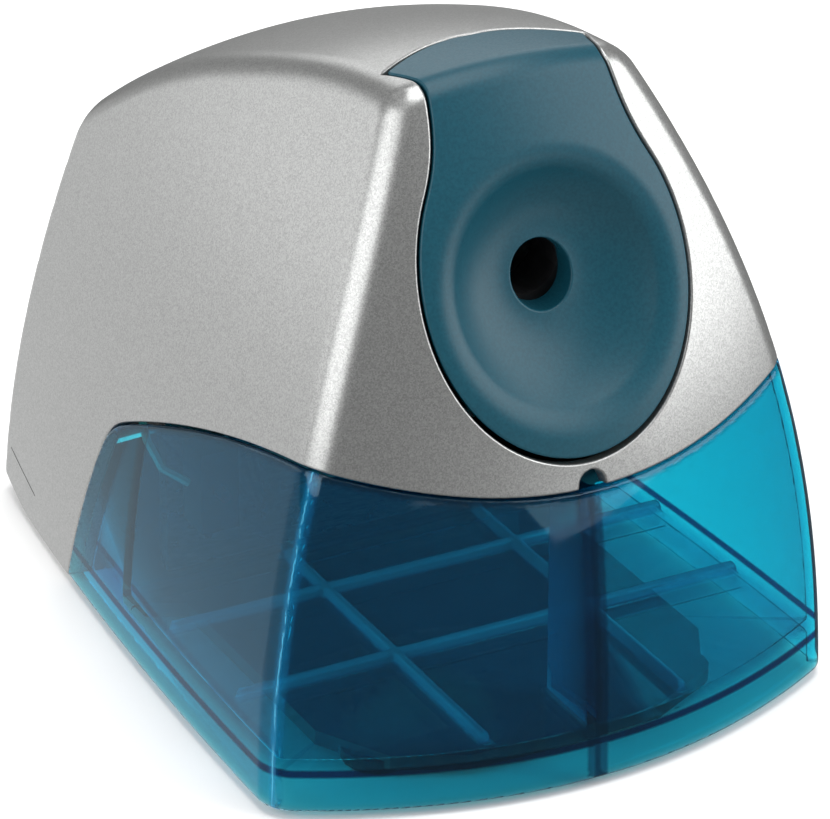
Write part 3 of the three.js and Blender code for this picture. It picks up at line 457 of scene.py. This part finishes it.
# ---- Clear shavings bin ----
def bin_form(p):
    x, y, z = p[:, 0], p[:, 1], p[:, 2]
    outside = outer_form(p)
    inside = outside + INNER_CLEARANCE
    shell = round_max(outside, -(outside + BIN_WALL), BIN_EDGE_R)
    floor = round_max(slab(z, BIN_FLOOR_LOW, BIN_FLOOR_TOP), y - BIN_BACK_END, BIN_FLOOR_EDGE_R)
    rear_wall = np.maximum(slab(y, BIN_BACK_Y, BIN_BACK_END), BIN_FLOOR_LOW - z)
    rear_top = np.where(np.abs(x) < BIN_BACK_HALF, BIN_BACK_TOP, ABOVE_BIN)
    rear_wall = round_max(rear_wall, z - rear_top, BIN_EDGE_R)
    plates = round_min(floor, rear_wall, PLATE_FILLET)
    result = round_min(shell, np.maximum(plates, inside), SHELL_FILLET)
    above_floor = BIN_FLOOR_TOP - 1 - z  # ribs start inside the floor
    ribs = np.maximum(slab(np.abs(x), *LONG_RIB), slab(y, *LONG_RIB_SPAN))
    for cross_rib in CROSS_RIBS:
        ribs = np.minimum(ribs, np.maximum(slab(y, *cross_rib), np.abs(x) - CROSS_RIB_HALF))
    ribs = round_max(ribs, z - RIB_TOP, BIN_EDGE_R)
    result = round_min(result, np.maximum(np.maximum(ribs, above_floor), inside), RIB_FILLET)
    middle_rib = np.maximum(np.abs(x) - MIDDLE_RIB_HALF, np.maximum(above_floor, inside))
    middle_rib = round_max(middle_rib, y - MIDDLE_RIB_END, BIN_LIP_R)
    result = round_min(result, middle_rib, PLATE_FILLET)
    below_line = (z - bin_line_z(x, y)) * 0.9  # the line slopes, so its distance is less than its height
    result = round_max(result, below_line, BIN_LIP_R)
    result = round_max(result, BIN_FOOT_Z - z, BIN_EDGE_R)
    return round_max(result, y - BIN_END_Y, BIN_EDGE_R)


def thinned(points, faces, share):
    """The same surface with about this share of its triangles."""
    mesh = bpy.data.meshes.new("fine")
    mesh.from_pydata(points.tolist(), [], faces.tolist())
    fine = bpy.data.objects.new("fine", mesh)
    bpy.context.scene.collection.objects.link(fine)
    fine.modifiers.new("thin", "DECIMATE").ratio = share
    graph = bpy.context.evaluated_depsgraph_get()
    reduced = bpy.data.meshes.new_from_object(fine.evaluated_get(graph), depsgraph=graph)
    bpy.data.objects.remove(fine)
    points = np.array([v.co for v in reduced.vertices], float)
    faces = np.array([f.vertices[:] for f in reduced.polygons])
    return points, faces


def behind_shell(points):
    """1 on the floor, rear wall and ribs, 0 on the bin's outer walls."""
    return np.clip((-outer_form(points) - BIN_WALL - 0.3) / 0.8, 0, 1)


def haze_and_glint_at(points):
    """How milky the plastic looks: floor and rear wall a little, ribs more. Near 1 it also carries a
    painted glint, on the front corners most.
    """
    x, y, z = points.T
    within = behind_shell(points)
    off_floor = np.clip((z - BIN_FLOOR_TOP - 0.2) / 0.5, 0, 1)
    rib = within * off_floor * (z < RIB_TOP + 0.3) * (y < BIN_BACK_Y - 1)
    front = outside_front(x, y, z)
    flank = outside_flank(x, y, z)
    # Painted glint down the front corners.
    corner = np.exp(-(((front - flank) / 0.45) ** 2)) * (front > -4) * (flank > -4)
    return np.maximum(0.3 * within, np.maximum(0.88 * rib, corner))


def painted_shade_at(points):
    """Painted shade where light is lost in the plastic: along the upper lip and through the middle rib."""
    x, y, z = points.T
    lip = np.clip(1.4 - (bin_line_z(x, y) - z), 0, 1)
    faces_of_rib = (np.abs(x) < MIDDLE_RIB_HALF + 0.5) * behind_shell(points)
    front_of_rib = np.abs(x) < MIDDLE_RIB_HALF + 0.3
    middle_rib = np.maximum(faces_of_rib, front_of_rib) * (y < MIDDLE_RIB_END + 0.3)
    return np.maximum(middle_rib, lip)


def make_shavings_bin():
    points, faces = skin(bin_form, (-46, -2, -1), (46, 90, 56), cell=0.5)
    points, faces = thinned(points, faces, share=0.34)
    points = settle(points, bin_form, rounds=2)
    normals = unit(gradient(bin_form, points))
    made = add_mesh("shavings_bin_clear", points, [(faces, normals[faces])])
    # Stored on the points: haze with a painted glint, and in "dark" a painted shade.
    for name, values in (("haze_and_glint", haze_and_glint_at(points)), ("dark", painted_shade_at(points))):
        made.data.attributes.new(name, "FLOAT", "POINT").data.foreach_set("value", values)
    return made


# ---- Seam low on each flank, as a thin dark strip let into the wall ----
def make_seam(name, side):
    count = 24
    share = np.linspace(0, 1, count)
    rows = []
    levels = (-SEAM_HALF, (SEAM_PROUD, -SEAM_SUNK)), (SEAM_HALF, (-SEAM_SUNK, SEAM_PROUD))
    for lift, offsets in levels:
        y = SEAM_START[0] + (SEAM_END[0] - SEAM_START[0]) * share
        z = SEAM_START[1] + (SEAM_END[1] - SEAM_START[1]) * share + lift
        line = settle(np.stack([side * side_x(y, z), y, z], 1), outer_form)
        normal = unit(gradient(outer_form, line))
        rows += [line + offset * normal for offset in offsets]
    k = np.arange(count - 1)
    faces = []
    for a, b in ((0, 1), (1, 2), (2, 3), (3, 0)):
        faces.append(np.stack([count * a + k, count * b + k, count * b + k + 1, count * a + k + 1], 1))
    start_cap = [3 * count, 2 * count, count, 0]
    end_cap = [count - 1, 2 * count - 1, 3 * count - 1, 4 * count - 1]
    faces = np.concatenate([*faces, [start_cap, end_cap]])
    if side < 0:
        faces = faces[:, ::-1]
    points = np.concatenate(rows)
    corners = points[faces]
    flat = unit(np.cross(corners[:, 2] - corners[:, 0], corners[:, 3] - corners[:, 1]))
    return add_mesh(name, points, [(faces, np.repeat(flat, 4, axis=0))])


# ---- Materials ----
class Recipe:
    """A Principled material with short calls for its nodes. Textures use the object's own metres."""

    def __init__(self, name, **values):
        self.material = bpy.data.materials.new(name)
        self.material.use_nodes = True
        self.nodes = self.material.node_tree.nodes
        self.links = self.material.node_tree.links
        self.shader = self.nodes["Principled BSDF"]
        for socket, value in values.items():
            self.shader.inputs[socket.replace("_", " ")].default_value = value
        self.place = self.nodes.new("ShaderNodeTexCoord").outputs["Object"]

    def node(self, kind, **values):
        """A new node with these input values."""
        made = self.nodes.new("ShaderNode" + kind)
        for socket, value in values.items():
            made.inputs[socket].default_value = value
        return made

    def stretched(self, *scale):
        mapping = self.nodes.new("ShaderNodeMapping")
        mapping.inputs["Scale"].default_value = scale
        self.links.new(self.place, mapping.inputs["Vector"])
        return mapping.outputs["Vector"]

    def noise(self, per_metre, detail=2.0, place=None):
        node = self.nodes.new("ShaderNodeTexNoise")
        node.inputs["Scale"].default_value = per_metre
        node.inputs["Detail"].default_value = detail
        self.links.new(place or self.place, node.inputs["Vector"])
        return node.outputs["Fac"]

    def cells(self, per_metre):
        node = self.nodes.new("ShaderNodeTexVoronoi")
        node.inputs["Scale"].default_value = per_metre
        self.links.new(self.place, node.inputs["Vector"])
        return node.outputs

    def span(self, value, low, high, start=0.3, end=0.7):
        """value between start and end, spread from low to high."""
        node = self.nodes.new("ShaderNodeMapRange")
        for name, number in zip(("From Min", "From Max", "To Min", "To Max"), (start, end, low, high)):
            node.inputs[name].default_value = number
        self.links.new(value, node.inputs["Value"])
        return node.outputs["Result"]

    def blend(self, value, first, second, start=0.35, end=0.65):
        ramp = self.nodes.new("ShaderNodeValToRGB")
        ramp.color_ramp.elements[0].position = start
        ramp.color_ramp.elements[1].position = end
        ramp.color_ramp.elements[0].color = (*first, 1)
        ramp.color_ramp.elements[1].color = (*second, 1)
        self.links.new(value, ramp.inputs["Fac"])
        return ramp.outputs["Color"]

    def bump(self, height, depth_mm, strength):
        node = self.nodes.new("ShaderNodeBump")
        node.inputs["Distance"].default_value = depth_mm * MM
        node.inputs["Strength"].default_value = strength
        self.links.new(height, node.inputs["Height"])
        return node.outputs["Normal"]

    def attribute(self, name):
        node = self.nodes.new("ShaderNodeAttribute")
        node.attribute_name = name
        return node.outputs["Fac"]

    def maths(self, operation, first, second):
        node = self.nodes.new("ShaderNodeMath")
        node.operation = operation
        self.links.new(first, node.inputs[0])
        if isinstance(second, (int, float)):
            node.inputs[1].default_value = second
        else:
            self.links.new(second, node.inputs[1])
        return node.outputs["Value"]

    def mix(self, share, first, second):
        """The first shader with this share of the second."""
        node = self.nodes.new("ShaderNodeMixShader")
        self.links.new(share, node.inputs["Fac"])
        self.links.new(first, node.inputs[1])
        self.links.new(second, node.inputs[2])
        return node.outputs["Shader"]

    def height_mm(self):
        node = self.nodes.new("ShaderNodeSeparateXYZ")
        self.links.new(self.place, node.inputs["Vector"])
        return self.maths("DIVIDE", node.outputs["Z"], MM)

    def drive(self, socket, output):
        self.links.new(output, self.shader.inputs[socket])


def silver_paint():
    m = Recipe("silver_paint", Metallic=0.8, Coat_Weight=0.1, Coat_Roughness=0.3)
    flakes = m.cells(5500)
    m.drive("Base Color", m.blend(flakes["Color"], (0.26, 0.264, 0.26), (0.39, 0.395, 0.39), 0.1, 0.9))
    m.drive("Roughness", m.span(m.noise(2600, 3), 0.28, 0.35))
    m.drive("Normal", m.bump(m.noise(6500, 2), 0.010, 0.6))
    return m.material


def teal_soft():
    m = Recipe("teal_soft", Specular_IOR_Level=0.27)
    m.drive("Base Color", m.blend(m.noise(2400, 3), (0.0036, 0.045, 0.068), (0.0050, 0.056, 0.082)))
    m.drive("Roughness", m.span(m.noise(3000, 2), 0.33, 0.41))
    m.drive("Normal", m.bump(m.noise(4500, 3), 0.016, 0.5))
    return m.material


def clear_blue():
    """Thin clear plastic: what is behind shows straight through, tinted by the depth of plastic."""
    m = Recipe("clear_blue")
    m.nodes.remove(m.shader)
    surface_end = m.nodes["Material Output"]

    # Painted shade in the clear colour: a dark line along the floor's edge, and the dark lip and middle
    # rib, where light is lost in the plastic.
    height = m.height_mm()
    floor_low = BIN_FLOOR_LOW + CASING_FOOT
    floor_top = BIN_FLOOR_TOP + CASING_FOOT
    above = m.span(height, 0, 1, floor_low + 0.1, floor_low + 0.5)
    below = m.span(height, 1, 0, floor_top - 0.4, floor_top)
    painted_floor_shade = m.maths("MULTIPLY", above, below)
    dark = m.maths("MAXIMUM", painted_floor_shade, m.maths("MULTIPLY", m.attribute("dark"), 0.7))
    clear = m.node("BsdfTransparent")
    m.links.new(m.blend(dark, (0.95, 0.985, 0.99), (0.05, 0.06, 0.18), 0, 1), clear.inputs["Color"])

    # Haze on the ribs and the inner walls. Its lighter colour near the top of the range is a painted glint,
    # strongest on the front corners.
    haze_and_glint = m.attribute("haze_and_glint")
    milk_and_glint = m.node("BsdfDiffuse")
    m.links.new(m.blend(haze_and_glint, (0.0025, 0.145, 0.315), (0.12, 0.5, 0.7), 0.8, 1), milk_and_glint.inputs["Color"])
    body = m.mix(m.span(haze_and_glint, 0.035, 0.62, 0, 1), clear.outputs["BSDF"], milk_and_glint.outputs["BSDF"])

    # Gloss that grows at a slant; at a very flat slant light is trapped in the wall.
    slant = m.node("LayerWeight", Blend=0.5)
    grown = m.span(m.maths("POWER", slant.outputs["Facing"], 5), 0.03, 1, 0, 1)
    trapped = m.node("Fresnel", IOR=1.06)
    share = m.maths("MAXIMUM", grown, trapped.outputs["Fac"])
    gloss = m.node("BsdfGlossy", Color=(0.7, 0.9, 1.0, 1))
    m.links.new(m.span(m.noise(240, 3), 0.02, 0.07), gloss.inputs["Roughness"])
    m.links.new(m.bump(m.noise(70, 1.5), 0.12, 0.5), gloss.inputs["Normal"])
    m.links.new(m.mix(share, body, gloss.outputs["BSDF"]), surface_end.inputs["Surface"])

    tint = m.node("VolumeAbsorption", Color=(0.0, 0.86, 0.91, 1), Density=800)
    m.links.new(tint.outputs["Volume"], surface_end.inputs["Volume"])
    return m.material


def moulded(name, dark, light, rough_low, rough_high, grain=1500, depth=0.03):
    """A moulded plastic or rubber with a fine grain."""
    m = Recipe(name)
    m.drive("Base Color", m.blend(m.noise(grain / 4, 4), dark, light))
    m.drive("Roughness", m.span(m.noise(grain, 3), rough_low, rough_high))
    m.drive("Normal", m.bump(m.noise(grain, 3), depth, 0.6))
    return m.material


def metal(name, dark, light, rough_low, rough_high, lines):
    """A bare metal with fine tool marks; lines stretches them."""
    m = Recipe(name, Metallic=1.0)
    marks = m.noise(700, 4, m.stretched(*lines))
    m.drive("Base Color", m.blend(marks, dark, light))
    m.drive("Roughness", m.span(m.noise(400, 3), rough_low, rough_high))
    m.drive("Normal", m.bump(marks, 0.01, 0.5))
    return m.material


MATERIALS = {
    "silver_paint": silver_paint(),
    "teal_soft": teal_soft(),
    "clear_blue": clear_blue(),
    "black_plastic": moulded("black_plastic", (0.012, 0.012, 0.014), (0.024, 0.024, 0.026), 0.42, 0.6),
    "rubber": moulded("rubber", (0.010, 0.010, 0.010), (0.022, 0.022, 0.022), 0.75, 0.95, 900, 0.06),
    "steel": metal("steel", (0.42, 0.42, 0.43), (0.60, 0.60, 0.61), 0.24, 0.40, (1, 1, 8)),
    "zinc": metal("zinc", (0.52, 0.52, 0.53), (0.72, 0.72, 0.71), 0.28, 0.48, (1, 1, 1)),
    "brass": metal("brass", (0.50, 0.34, 0.12), (0.70, 0.50, 0.20), 0.22, 0.38, (1, 8, 1)),
    "nylon": moulded("nylon", (0.66, 0.62, 0.52), (0.78, 0.74, 0.64), 0.4, 0.55),
    "circuit_board": moulded("circuit_board", (0.015, 0.10, 0.04), (0.03, 0.16, 0.06), 0.25, 0.45, 700),
    "dark_sleeve": moulded("dark_sleeve", (0.015, 0.03, 0.06), (0.025, 0.05, 0.10), 0.2, 0.35),
    "green_plastic": moulded("green_plastic", (0.025, 0.17, 0.065), (0.04, 0.23, 0.09), 0.3, 0.45),
    "red_plastic": moulded("red_plastic", (0.38, 0.015, 0.012), (0.50, 0.026, 0.02), 0.3, 0.45),
}


def dress(obj, slot):
    obj.data.materials.clear()
    obj.data.materials.append(MATERIALS[slot])


for subpart in frame["record"]["subparts"]:
    dress(frame["nodes"][subpart["node"]], subpart["material_slot"])

for make, node, body, slot in [
    (make_top_housing, "top_housing", "housing", "silver_paint"),
    (make_front_panel, "front_panel", "housing", "teal_soft"),
    (make_shavings_bin, "shavings_bin", "bin", "clear_blue"),
]:
    piece = make()
    dress(piece, slot)
    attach(piece, body)
    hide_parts(node)

for name, side in (("seam_left", -1), ("seam_right", 1)):
    seam = make_seam(name, side)
    dress(seam, "black_plastic")
    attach(seam, "housing")


# ---- Floor, lights and camera, in metres ----
FLOOR_HALF = 3.0
CARD_Z = -0.002

# Soft boxes: name, place, width, height, watts. They all face the object's middle.
SOFT_BOXES = [
    ("right_box", (0.84, -0.54, 0.52), 0.9, 1.2, 13),
    ("left_box", (-0.95, -0.14, 0.5), 0.9, 1.0, 9),
    ("left_back_box", (-0.75, 0.75, 0.25), 0.9, 0.5, 2.2),
    ("back_box", (0.35, 0.9, 0.6), 0.8, 0.6, 2.5),
    ("top_box", (0.1, 0.0, 1.1), 0.8, 0.8, 9),
]

# The floor is left out of reflections. These glowing cards just under it stand in for the parts of it
# that the gloss shows: name, lower and upper corner as x and y, strength.
CARDS = [
    ("back_left_card", (-0.8, -0.05), (0, 0.9), 0.95),
    ("back_right_card", (0.002, -0.05), (0.8, 0.9), 0.18),
    ("right_card", (0.28, -0.8), (0.9, -0.12), 1.7),
    ("front_right_card", (0.05, -0.55), (0.278, -0.24), 1.7),
    ("front_card", (-0.15, -1.2), (0.278, -0.552), 1.3),
]
ROOM_SKY = 0.4
GLOSS_SKY = 0.25  # what the gloss shows between the soft boxes

scene = bpy.context.scene


def flat_sheet(name, low, high, z, material):
    mesh = bpy.data.meshes.new(name)
    corners = [(low[0], low[1], z), (high[0], low[1], z), (high[0], high[1], z), (low[0], high[1], z)]
    mesh.from_pydata(corners, [], [(0, 1, 2, 3)])
    mesh.materials.append(material)
    made = bpy.data.objects.new(name, mesh)
    scene.collection.objects.link(made)
    return made


def floor_material():
    m = Recipe("floor_paper", Roughness=0.9)
    m.drive("Base Color", m.blend(m.noise(14, 3), (0.86, 0.86, 0.86), (0.9, 0.9, 0.9)))
    m.drive("Normal", m.bump(m.noise(300, 2), 0.05, 0.2))
    return m.material


def card_material(name, strength):
    m = Recipe(name)
    m.nodes.remove(m.shader)
    glow = m.node("Emission", Strength=strength)
    m.links.new(glow.outputs["Emission"], m.nodes["Material Output"].inputs["Surface"])
    m.material.cycles.emission_sampling = "NONE"
    return m.material


def soft_box(name, place, width, height, watts):
    data = bpy.data.lights.new(name, "AREA")
    data.shape = "RECTANGLE"
    data.size = width
    data.size_y = height
    data.energy = watts
    lamp = bpy.data.objects.new(name, data)
    lamp.location = place
    middle = Vector((0, 0, (cad_low.z + cad_high.z) / 2))
    lamp.rotation_euler = (middle - Vector(place)).to_track_quat("-Z", "Y").to_euler()
    scene.collection.objects.link(lamp)


def make_sky():
    world = bpy.data.worlds.new("studio")
    world.use_nodes = True
    nodes = world.node_tree.nodes
    background = nodes["Background"]
    background.inputs["Color"].default_value = (1, 1, 1, 1)
    ray = nodes.new("ShaderNodeLightPath")
    level = nodes.new("ShaderNodeMapRange")
    level.inputs["To Min"].default_value = ROOM_SKY
    level.inputs["To Max"].default_value = GLOSS_SKY
    world.node_tree.links.new(ray.outputs["Is Glossy Ray"], level.inputs["Value"])
    world.node_tree.links.new(level.outputs["Result"], background.inputs["Strength"])
    scene.world = world


floor = flat_sheet("floor", (-FLOOR_HALF, -FLOOR_HALF), (FLOOR_HALF, FLOOR_HALF), 0, floor_material())
floor.visible_glossy = False
for name, low, high, strength in CARDS:
    flat_sheet(name, low, high, CARD_Z, card_material(name, strength))
for box in SOFT_BOXES:
    soft_box(*box)
make_sky()
scene.view_settings.view_transform = "Standard"

PIVOT = np.array([0, 60, 50])  # a point in the middle of the object, in casing mm
CAMERA_BACK = Vector((-0.42191, -0.79974, 0.42712))  # the way from the pivot to the camera
CAMERA_RIGHT = Vector((0.8845, -0.4666, 0))
CAMERA_DISTANCE = 0.6907
AIM_RIGHT = 0.003448  # how far past the pivot the camera aims, as a share of its distance
AIM_UP = -0.025602
ROLL = math.radians(0.18)
LENS_MM = 209.84


def make_camera():
    right = CAMERA_RIGHT.normalized()
    up = CAMERA_BACK.cross(right)
    aim = -CAMERA_BACK + AIM_RIGHT * right + AIM_UP * up
    data = bpy.data.cameras.new("camera")
    data.lens = LENS_MM
    data.sensor_width = 36
    data.clip_start = 0.05
    camera = bpy.data.objects.new("camera", data)
    pivot = Vector(((PIVOT + ORIGIN) * MM).tolist())
    camera.location = pivot + CAMERA_BACK * CAMERA_DISTANCE
    turn = aim.to_track_quat("-Z", "Y").to_matrix() @ Matrix.Rotation(ROLL, 3, "Z")
    camera.rotation_euler = turn.to_euler()
    scene.collection.objects.link(camera)
    scene.camera = camera


make_camera()
